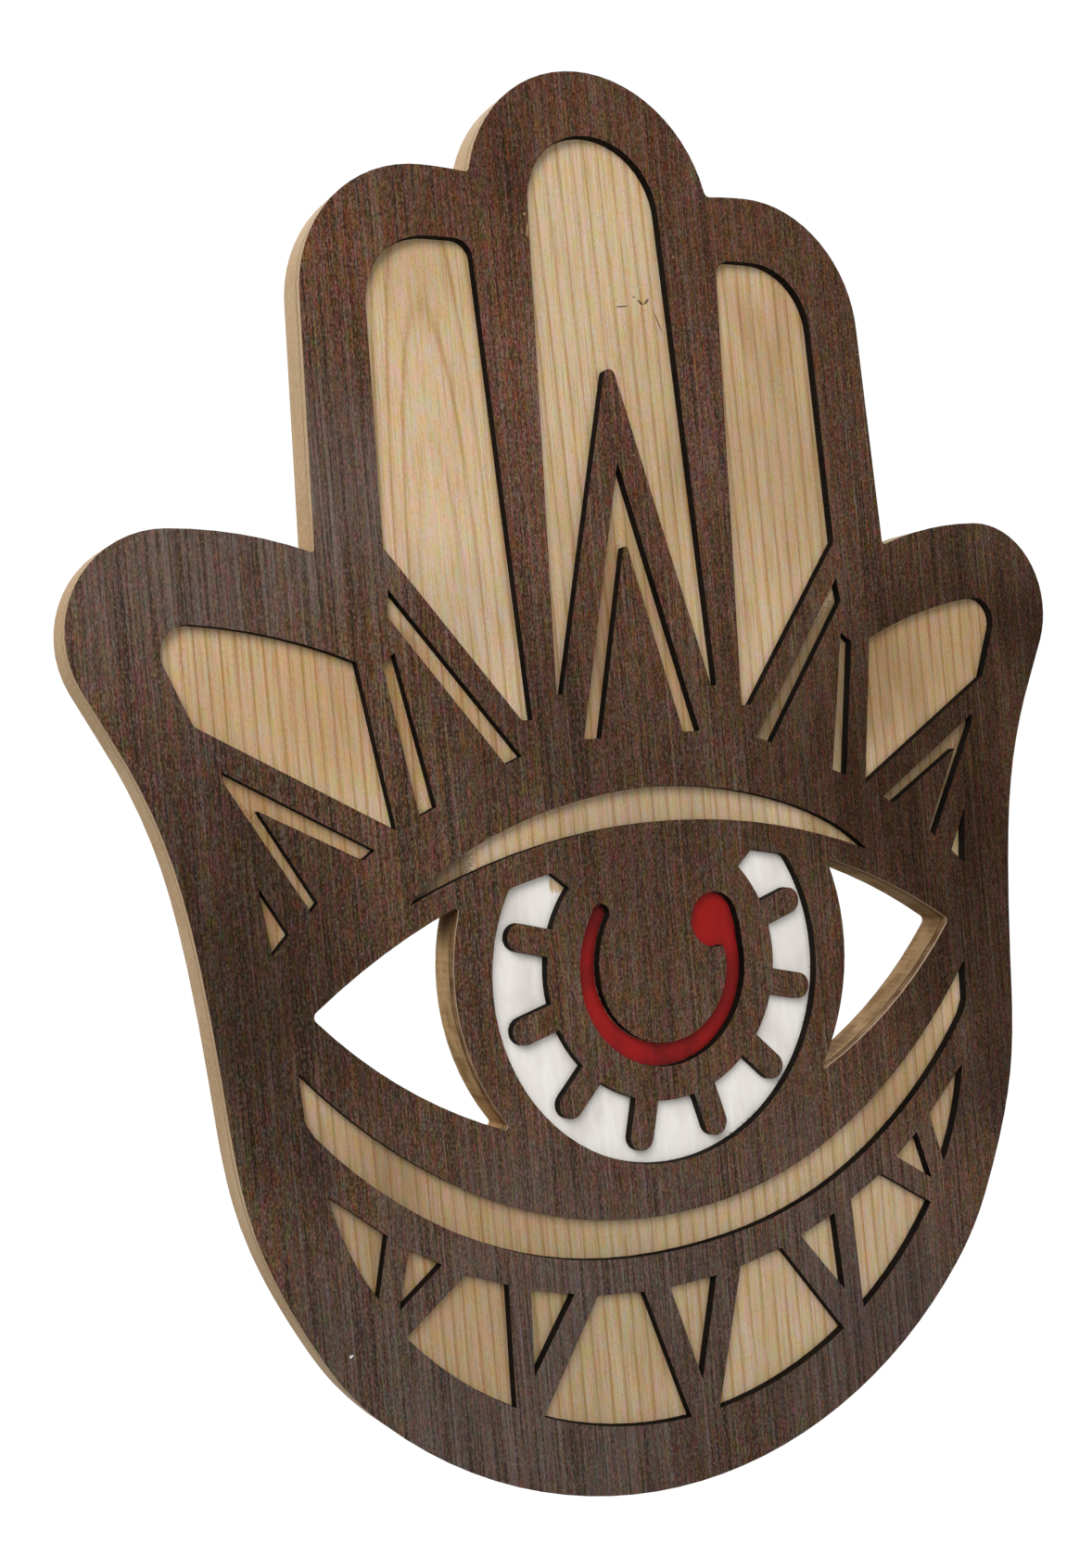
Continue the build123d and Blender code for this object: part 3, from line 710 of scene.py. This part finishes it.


# Paint films: brushed on, thin where the bristles ran out, darker along the walls from thinner paint and
# painted shade; the red also has painted shade and a painted highlight
whitePaint = {
    "body": (0.865, 0.838, 0.812),
    "bright": (0.925, 0.908, 0.888),
    "thinAndShade": (0.68, 0.648, 0.615),
    # how much darker along the walls: thinner paint there and painted shade
    "bristles": (420, 300, 50.4),
    "border": 0.40,
    # darker places and painted highlights: spot, reach, strength; on the white the darker place is towards
    # the right of the ring
    "darkened": (((50, -205), 36, 0.24),),
    "paintedHighlights": (),
    # a spot where the veneer shows: centre, and the gaps where the paint is whole and gone
    "bareSpot": (-31.6 * mm, floorLevel, -177.6 * mm),
    "bareRange": (3.6 * mm, 1.9 * mm),
    "bareRagged": 3 * mm,
}
redPaint = {
    "body": (0.330, 0.0112, 0.0120),
    "bright": (0.350, 0.0090, 0.0075),
    "thinAndShade": (0.115, 0.0080, 0.0085),
    "bristles": (500, 300, 60),
    # how much darker along the walls: thinner paint there and painted shade
    "border": 0.52,
    # painted shade on the left horn and on the right of the arc
    "darkened": (
        ((-20.6, -185.9), 20, 0.75),
        ((25.8, -217.0), 20, 0.60),
    ),
    # a painted highlight on the bead
    "paintedHighlights": (((18, -193), 11, 0.8),),
}
brushWork = {
    "specular": 0.12,
    "smear": (75, 75, 40),
    "brightRange": (0.4, 0.7),
    "thinRange": (0.55, 0.32, 0, 0.75),
    "borderRange": (0.35, 0.60),
    "borderLeast": 0.4,
    "smearHeight": 0.4,
    "roughness": (0.3, 0.7, 0.66, 0.52),
    "bump": (0.35, 0.06 * mm),
}


def bareVeneer(tree, place, paint, bristle, colour):
    gap = vectorMath(tree, "DISTANCE", place, paint["bareSpot"])["Value"]
    gap = calc(tree, "MULTIPLY_ADD", fromMiddle(tree, bristle), paint["bareRagged"], gap)
    return blendColour(tree, spread(tree, gap, *paint["bareRange"]), colour, paleGrain(tree, place)[0])


def makePaint(name, paint):
    finish, tree, principled = newFinish(name, {"Specular IOR Level": brushWork["specular"]})
    place = objectCoords(tree)
    bristle = cloud(tree, scaled(tree, place, paint["bristles"]), detail=3, roughness=0.6)
    smear = cloud(tree, scaled(tree, place, brushWork["smear"]), detail=3)
    bright = spread(tree, bristle, *brushWork["brightRange"])
    colour = blendColour(tree, bright, paint["body"], paint["bright"])
    colour = blendColour(tree, spread(tree, smear, *brushWork["thinRange"]), colour, paint["thinAndShade"])
    # darker along the walls: thinner paint and painted shade
    border = addNode(tree, "ShaderNodeAttribute", attribute_name="border").outputs["Fac"]
    strengths = (paint["border"], brushWork["borderLeast"] * paint["border"])
    border = calc(tree, "MULTIPLY", border, spread(tree, smear, *brushWork["borderRange"], *strengths))
    colour = blendColour(tree, border, colour, paint["thinAndShade"])
    # darker places, which are painted shade on the red, and painted highlights
    for tone, places in (("thinAndShade", paint["darkened"]), ("bright", paint["paintedHighlights"])):
        for patch in places:
            colour = dabPatch(tree, place, floorLevel, colour, paint[tone], *patch)
    if "bareSpot" in paint:
        colour = bareVeneer(tree, place, paint, bristle, colour)
    height = calc(tree, "MULTIPLY_ADD", smear, brushWork["smearHeight"], bristle)
    roughness = spread(tree, bristle, *brushWork["roughness"])
    connect(tree, principled, colour, roughness, height, brushWork["bump"])
    return finish


# Plated steel of the hanger: spangled zinc with dull stains
platedSteel = {
    "bright": (0.66, 0.655, 0.63),
    "dull": (0.42, 0.41, 0.385),
    "stain": (0.23, 0.205, 0.175),
    # cells in a metre
    "spangle": 1400,
    "drawn": (3800, 500, 260),
    "blotch": 190,
    "spangleRange": (0.35, 0.65),
    "stainRange": (0.56, 0.74, 0, 0.7),
    "roughness": (0.3, 0.7, 0.22, 0.36),
    "stainRoughness": 0.25,
    "bump": (0.12, 0.03 * mm),
}


def makeSteel():
    look = platedSteel
    finish, tree, principled = newFinish("plated steel", {"Metallic": 1.0})
    place = objectCoords(tree)
    spangle = cloud(tree, place, scale=look["spangle"], detail=2)
    drawn = cloud(tree, scaled(tree, place, look["drawn"]), detail=2)
    blotch = cloud(tree, place, scale=look["blotch"], detail=4, roughness=0.65)
    colour = blendColour(tree, spread(tree, spangle, *look["spangleRange"]), look["dull"], look["bright"])
    colour = blendColour(tree, spread(tree, blotch, *look["stainRange"]), colour, look["stain"])
    roughness = spread(tree, drawn, *look["roughness"])
    roughness = calc(tree, "MULTIPLY_ADD", blotch, look["stainRoughness"], roughness)
    connect(tree, principled, colour, roughness, drawn, look["bump"])
    return finish


# Felt of the pads: dark wool with lighter tufts
feltCloth = {
    "shader": {"Specular IOR Level": 0.1, "Sheen Weight": 0.35, "Sheen Roughness": 0.6},
    "body": (0.055, 0.043, 0.036),
    "light": (0.105, 0.087, 0.074),
    "pit": (0.024, 0.019, 0.016),
    # cells in a metre
    "wool": 1900,
    "tuft": 900,
    "woolRange": (0.35, 0.68),
    "tuftRange": (0.5, 0.75),
    "roughness": (0.2, 0.8, 1.0, 0.88),
    "bump": (0.7, 0.25 * mm),
}


def makeFelt():
    look = feltCloth
    finish, tree, principled = newFinish("felt", look["shader"])
    place = objectCoords(tree)
    wool = cloud(tree, place, scale=look["wool"], detail=4, roughness=0.7)
    tuft = cloud(tree, place, scale=look["tuft"], detail=3)
    colour = blendColour(tree, spread(tree, wool, *look["woolRange"]), look["pit"], look["body"])
    colour = blendColour(tree, spread(tree, tuft, *look["tuftRange"]), colour, look["light"])
    connect(tree, principled, colour, spread(tree, wool, *look["roughness"]), wool, look["bump"])
    return finish


smoked = makeDarkVeneer()
pale = makePaleVeneer("pale veneer", True)
plain = makePaleVeneer("plain pale veneer", False)
edge = makeBoardEdge()
charred = makeCharred()
toasted = makeToasted()
white = makePaint("white paint", whitePaint)
red = makePaint("red paint", redPaint)
steel = makeSteel()
felt = makeFelt()
print("finishes ready")

# Pieces: a merged copy of the CAD sheet, its rims eased, its faces sorted into finishes
meshWork = {
    "mergeGap": 0.002 * mm,
    "flatAngle": math.radians(0.4),
    "rimAngle": 0.6,  # radians
    "rimSegments": 2,
    "sameLevel": 0.01 * mm,
    # how far a face's normal points along the depth: less on a wall, more on a flat face
    "wallFacing": 0.3,
    "flatFacing": 0.99,
}


def copySheet(nodeName, joined=True):
    sheet = bmesh.new()
    sheet.from_mesh(cadNodes[nodeName].data)
    bmesh.ops.remove_doubles(sheet, verts=sheet.verts, dist=meshWork["mergeGap"])
    if joined:
        bmesh.ops.dissolve_limit(
            sheet,
            angle_limit=meshWork["flatAngle"],
            use_dissolve_boundaries=False,
            verts=sheet.verts,
            edges=sheet.edges,
        )
    sheet.normal_update()
    return sheet


def isWall(face):
    return abs(face.normal.y) < meshWork["wallFacing"]


def wallRings(sheet):
    left = {face for face in sheet.faces if isWall(face)}
    found = []
    while left:
        ring = [left.pop()]
        for face in ring:
            beside = {other for line in face.edges for other in line.link_faces if other in left}
            left -= beside
            ring.extend(sorted(beside, key=lambda other: other.index))
        found.append(ring)
    return found


def widthOf(ring):
    xs = [corner.co.x for face in ring for corner in face.verts]
    return max(xs) - min(xs)


def middleOf(ring):
    corners = [corner.co for face in ring for corner in face.verts]
    lows = [min(corner[axis] for corner in corners) for axis in range(3)]
    highs = [max(corner[axis] for corner in corners) for axis in range(3)]
    return Vector(((lows[0] + highs[0]) / 2, 0, (lows[2] + highs[2]) / 2))


def bevelEdges(sheet, lines, amount, segments):
    bmesh.ops.bevel(
        sheet,
        geom=lines,
        offset=amount,
        offset_type="OFFSET",
        segments=segments,
        profile=0.5,
        affect="EDGES",
        clamp_overlap=True,
        material=-1,
    )


def isAtLevel(line, level):
    return all(abs(end.co.y - level) < meshWork["sameLevel"] for end in line.verts)


def easeRims(sheet, amount, level=None):
    folds = [line for line in sheet.edges if len(line.link_faces) == 2]
    rims = [line for line in folds if line.calc_face_angle() > meshWork["rimAngle"]]
    if level is not None:
        rims = [line for line in rims if isAtLevel(line, level)]
    bevelEdges(sheet, rims, amount, meshWork["rimSegments"])


def finishPiece(name, sheet, finishes, body, replaced, smoothAngle=35, flatFaces=False):
    mesh = bpy.data.meshes.new(name)
    sheet.to_mesh(mesh)
    sheet.free()
    for finish in finishes:
        mesh.materials.append(finish)
    mesh.set_sharp_from_angle(angle=math.radians(smoothAngle))
    smooth = [not flatFaces or abs(face.normal.y) < meshWork["flatFacing"] for face in mesh.polygons]
    mesh.polygons.foreach_set("use_smooth", smooth)
    piece = bpy.data.objects.new(name, mesh)
    bpy.context.scene.collection.objects.link(piece)
    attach(piece, body)
    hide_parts(replaced)


# Boards and veneers: finishes of the faces, the outer edge, the walls of the windows and of the
# pierced corners; how far the rims of the front or the back are eased
boards = {
    "backVeneer": {
        "node": "back_veneer",
        "slot": "pale_veneer",
        "finishes": (plain, edge, toasted),
        "ease": 0.15 * mm,
        "easedSide": "back",
    },
    "backBoard": {
        "node": "back_board",
        "slot": "board_core",
        "finishes": (edge, edge, toasted),
        "ease": 0,
    },
    "faceVeneer": {
        "node": "face_veneer",
        "slot": "pale_veneer",
        "finishes": (pale, edge, toasted, toasted),
        "ease": 0,
    },
    "fretBoard": {
        "node": "fret_board",
        "slot": "board_core",
        "finishes": (edge, edge, charred, toasted),
        "ease": 0,
    },
    "fretVeneer": {
        "node": "fret_veneer",
        "slot": "dark_veneer",
        "finishes": (smoked, smoked, charred, toasted),
        "ease": 0.12 * mm,
        "easedSide": "front",
    },
}
pierced = []  # middles of the cut-outs that go right through
piercedWidth = 20 * mm  # the screw holes are narrower
samePlace = 5 * mm
for name, board in boards.items():
    sheet = copySheet(board["node"])
    cuts = sorted(wallRings(sheet), key=widthOf)
    for face in sheet.faces:
        face.material_index = 0
    for ring in cuts:
        middle = middleOf(ring)
        through = any((middle - other).length < samePlace for other in pierced)
        for face in ring:
            face.material_index = 1 if ring is cuts[-1] else 3 if through else 2
    if board["node"] == "back_board":
        pierced = [middleOf(ring) for ring in cuts[:-1] if widthOf(ring) > piercedWidth]
    if board["ease"]:
        depths = [corner.co.y for corner in sheet.verts]
        level = min(depths) if board["easedSide"] == "front" else max(depths)
        easeRims(sheet, board["ease"], level)
    finishPiece(name, sheet, board["finishes"], "plaque", board["node"], flatFaces=True)
    print(name, "has", len(cuts), "rims")

# Paint films, cut into a fine grid that marks the band along the walls, where the paint thins out and
# painted shade falls
films = {
    "whiteField": {"node": "eye_white_paint", "slot": "white_paint", "finish": white, "border": 1.6 * mm},
    "redCrescent": {"node": "crescent_red_paint", "slot": "red_paint", "finish": red, "border": 1.7 * mm},
}
filmGrid = {"sampleStep": 0.2 * mm, "cellShare": 0.6, "cutGap": 0.001 * mm}


def wallSamples(film, step):
    samples = []
    for line in film.edges:
        walls = [isWall(face) for face in line.link_faces]
        if any(walls) and not all(walls):
            first, last = (end.co for end in line.verts)
            count = math.ceil(line.calc_length() / step)
            samples += [first.lerp(last, index / count) for index in range(count + 1)]
    return samples


def cutGrid(film, step):
    for axis in (0, 2):
        places = [corner.co[axis] for corner in film.verts]
        for index in range(1, math.ceil((max(places) - min(places)) / step)):
            spot, normal = Vector((0, 0, 0)), Vector((0, 0, 0))
            spot[axis] = min(places) + index * step
            normal[axis] = 1
            everything = film.verts[:] + film.edges[:] + film.faces[:]
            bmesh.ops.bisect_plane(
                film, geom=everything, dist=filmGrid["cutGap"], plane_co=spot, plane_no=normal
            )


def markBorder(film, width):
    samples = wallSamples(film, filmGrid["sampleStep"])
    rim = kdtree.KDTree(len(samples))
    for index, sample in enumerate(samples):
        rim.insert(sample, index)
    rim.balance()
    cutGrid(film, filmGrid["cellShare"] * width)
    border = film.verts.layers.float.new("border")
    for corner in film.verts:
        gap = rim.find(corner.co)[2]
        corner[border] = max(0.0, 1.0 - gap / width)


for name, film in films.items():
    sheet = copySheet(film["node"], joined=False)
    markBorder(sheet, film["border"])
    finishPiece(name, sheet, (film["finish"],), "plaque", film["node"])
print("paint laid")

# Hanger: strap and screws with eased edges, ring as drawn
hanger = {
    "hangerStrap": {"node": "hanger_strap", "body": "plaque", "ease": 0.22 * mm, "smoothAngle": 35},
    "hangerScrews": {"node": "hanger_screws", "body": "plaque", "ease": 0.10 * mm, "smoothAngle": 35},
    "hangerRing": {"node": "hanger_ring", "body": "ring", "ease": 0, "smoothAngle": 60},
}
for name, part in hanger.items():
    sheet = copySheet(part["node"])
    if part["ease"]:
        easeRims(sheet, part["ease"])
    finishPiece(name, sheet, (steel,), part["body"], part["node"], part["smoothAngle"])
print("hanger made")

# Felt pads: a thick disc with a soft rim and a woolly surface
pad = {
    "radius": 6 * mm,
    "thickness": 4 * mm,
    "rim": 0.7 * mm,
    "rimSegments": 3,
    "rimAngle": 1.0,
    "segments": 48,
    "rounds": 6,
    "roundWidth": 0.8 * mm,
    "sideCuts": 4,
    "sideLength": 2 * mm,
    "wool": 0.10 * mm,
    "woolCells": 900,
    "woolMargin": 0.3 * mm,
    "smoothAngle": 60,
    "spots": ((62 * mm, -305 * mm), (-62 * mm, -305 * mm)),
}


def addDisc(pads, x, z):
    turn = Matrix.Rotation(math.radians(90), 4, "X")
    made = bmesh.ops.create_cone(
        pads,
        cap_ends=True,
        segments=pad["segments"],
        radius1=pad["radius"],
        radius2=pad["radius"],
        depth=pad["thickness"],
        matrix=Matrix.Translation((x, -pad["thickness"] / 2, z)) @ turn,
    )
    lines = [line for line in pads.edges if line.verts[0] in made["verts"]]
    rims = [line for line in lines if line.calc_face_angle() > pad["rimAngle"]]
    bevelEdges(pads, rims, pad["rim"], pad["rimSegments"])


def roughenSide(corner):
    if pad["woolMargin"] < -corner.co.y < pad["thickness"] - pad["woolMargin"]:
        dent = noise.noise(corner.co * pad["woolCells"]) * pad["wool"]
        middle = min(pad["spots"], key=lambda spot: abs(spot[0] - corner.co.x))
        outward = Vector((corner.co.x - middle[0], 0, corner.co.z - middle[1]))
        corner.co += outward.normalized() * (dent - pad["wool"])


pads = bmesh.new()
for x, z in pad["spots"]:
    addDisc(pads, x, z)
for step in range(pad["rounds"]):
    caps = [face for face in pads.faces if len(face.verts) > 4]
    bmesh.ops.inset_region(pads, faces=caps, thickness=pad["roundWidth"], use_even_offset=True)
sides = [line for line in pads.edges if abs(line.verts[0].co.y - line.verts[1].co.y) > pad["sideLength"]]
bmesh.ops.subdivide_edges(pads, edges=sides, cuts=pad["sideCuts"])
for corner in pads.verts:
    roughenSide(corner)
finishPiece("feltPads", pads, (felt,), "plaque", "felt_pads", pad["smoothAngle"])
print("pads made")

# Studio: a pale floor well under the plaque, a white room, soft lights
studio = {
    "floorHeight": -1.45,
    "floorRadius": 2.2,
    "floorFade": 1.2,
    "floorSegments": 96,
    "floorShader": {"Base Color": (0.88, 0.88, 0.87, 1), "Roughness": 0.7},
    "backdrop": {"Color": (1, 1, 1, 1), "Strength": 1.05},
    "room": {"Color": (1, 0.99, 0.975, 1), "Strength": 0.26},
    "aim": (0, 0, -0.15),
    "lightColour": (1, 0.975, 0.94),
    # name, place, size, power
    "lights": (
        ("keyLight", (-0.84, -1.18, 0.66), 0.95, 20.5),
        ("fillLight", (0.55, -1.45, -0.35), 0.90, 4.8),
        ("sideLight", (-0.95, 0.15, 0.15), 0.50, 2.2),
        ("backLight", (0.3, 1.3, 0.7), 1.2, 12.0),
    ),
}


def layFloor():
    middle = (0, 0, studio["floorHeight"])
    radius = studio["floorRadius"]
    ground = bmesh.new()
    bmesh.ops.create_circle(
        ground,
        cap_ends=True,
        segments=studio["floorSegments"],
        radius=radius,
        matrix=Matrix.Translation(middle),
    )
    mesh = bpy.data.meshes.new("floor")
    ground.to_mesh(mesh)
    ground.free()
    finish, tree, principled = newFinish("pale floor", studio["floorShader"])
    gap = vectorMath(tree, "DISTANCE", objectCoords(tree), middle)["Value"]
    fade = spread(tree, gap, radius, radius - studio["floorFade"])
    tree.links.new(fade, principled.inputs["Alpha"])
    mesh.materials.append(finish)
    floor = bpy.data.objects.new("floor", mesh)
    bpy.context.scene.collection.objects.link(floor)


def paintRoom():
    room = bpy.data.worlds.new("white room")
    room.use_nodes = True
    bpy.context.scene.world = room
    tree = room.node_tree
    tree.nodes.clear()
    seen = addNode(tree, "ShaderNodeBackground", studio["backdrop"]).outputs[0]
    lit = addNode(tree, "ShaderNodeBackground", studio["room"]).outputs[0]
    ray = addNode(tree, "ShaderNodeLightPath").outputs["Is Camera Ray"]
    both = addNode(tree, "ShaderNodeMixShader", {0: ray, 1: lit, 2: seen}).outputs[0]
    addNode(tree, "ShaderNodeOutputWorld", {"Surface": both})


def hangLight(name, spot, size, power):
    lamp = bpy.data.lights.new(name, "AREA")
    lamp.shape = "SQUARE"
    lamp.size = size
    lamp.energy = power
    lamp.color = studio["lightColour"]
    light = bpy.data.objects.new(name, lamp)
    light.location = spot
    light.rotation_euler = (Vector(studio["aim"]) - Vector(spot)).to_track_quat("-Z", "Y").to_euler()
    light.visible_camera = False
    bpy.context.scene.collection.objects.link(light)


layFloor()
paintRoom()
for light in studio["lights"]:
    hangLight(*light)
bpy.context.scene.view_settings.view_transform = "Standard"
print("studio lit")

# Camera: left of the plaque, level with its middle, turned to the right and rolled a little
camera = {
    "place": (-0.27400, -0.44382, -0.15070),
    "heading": math.radians(29.284),
    "tilt": math.radians(0.220),
    "roll": math.radians(5.303),
    # focal length and long side of the picture, both in its pixels
    "focal": 1860.0,
    "longSide": 1692.0,
    "sensor": 36.0,
    "clipStart": 0.01,
    "clipEnd": 50,
}
lens = bpy.data.cameras.new("photoCamera")
lens.sensor_fit = "AUTO"
lens.sensor_width = camera["sensor"]
lens.lens = camera["focal"] / camera["longSide"] * camera["sensor"]
lens.clip_start = camera["clipStart"]
lens.clip_end = camera["clipEnd"]
viewer = bpy.data.objects.new("photoCamera", lens)
aside = Matrix.Rotation(-camera["heading"], 4, "Z")
upright = Matrix.Rotation(math.pi / 2 + camera["tilt"], 4, "X")
rolled = Matrix.Rotation(-camera["roll"], 4, "Z")
viewer.matrix_world = Matrix.Translation(camera["place"]) @ aside @ upright @ rolled
bpy.context.scene.collection.objects.link(viewer)
bpy.context.scene.camera = viewer
print("camera set")
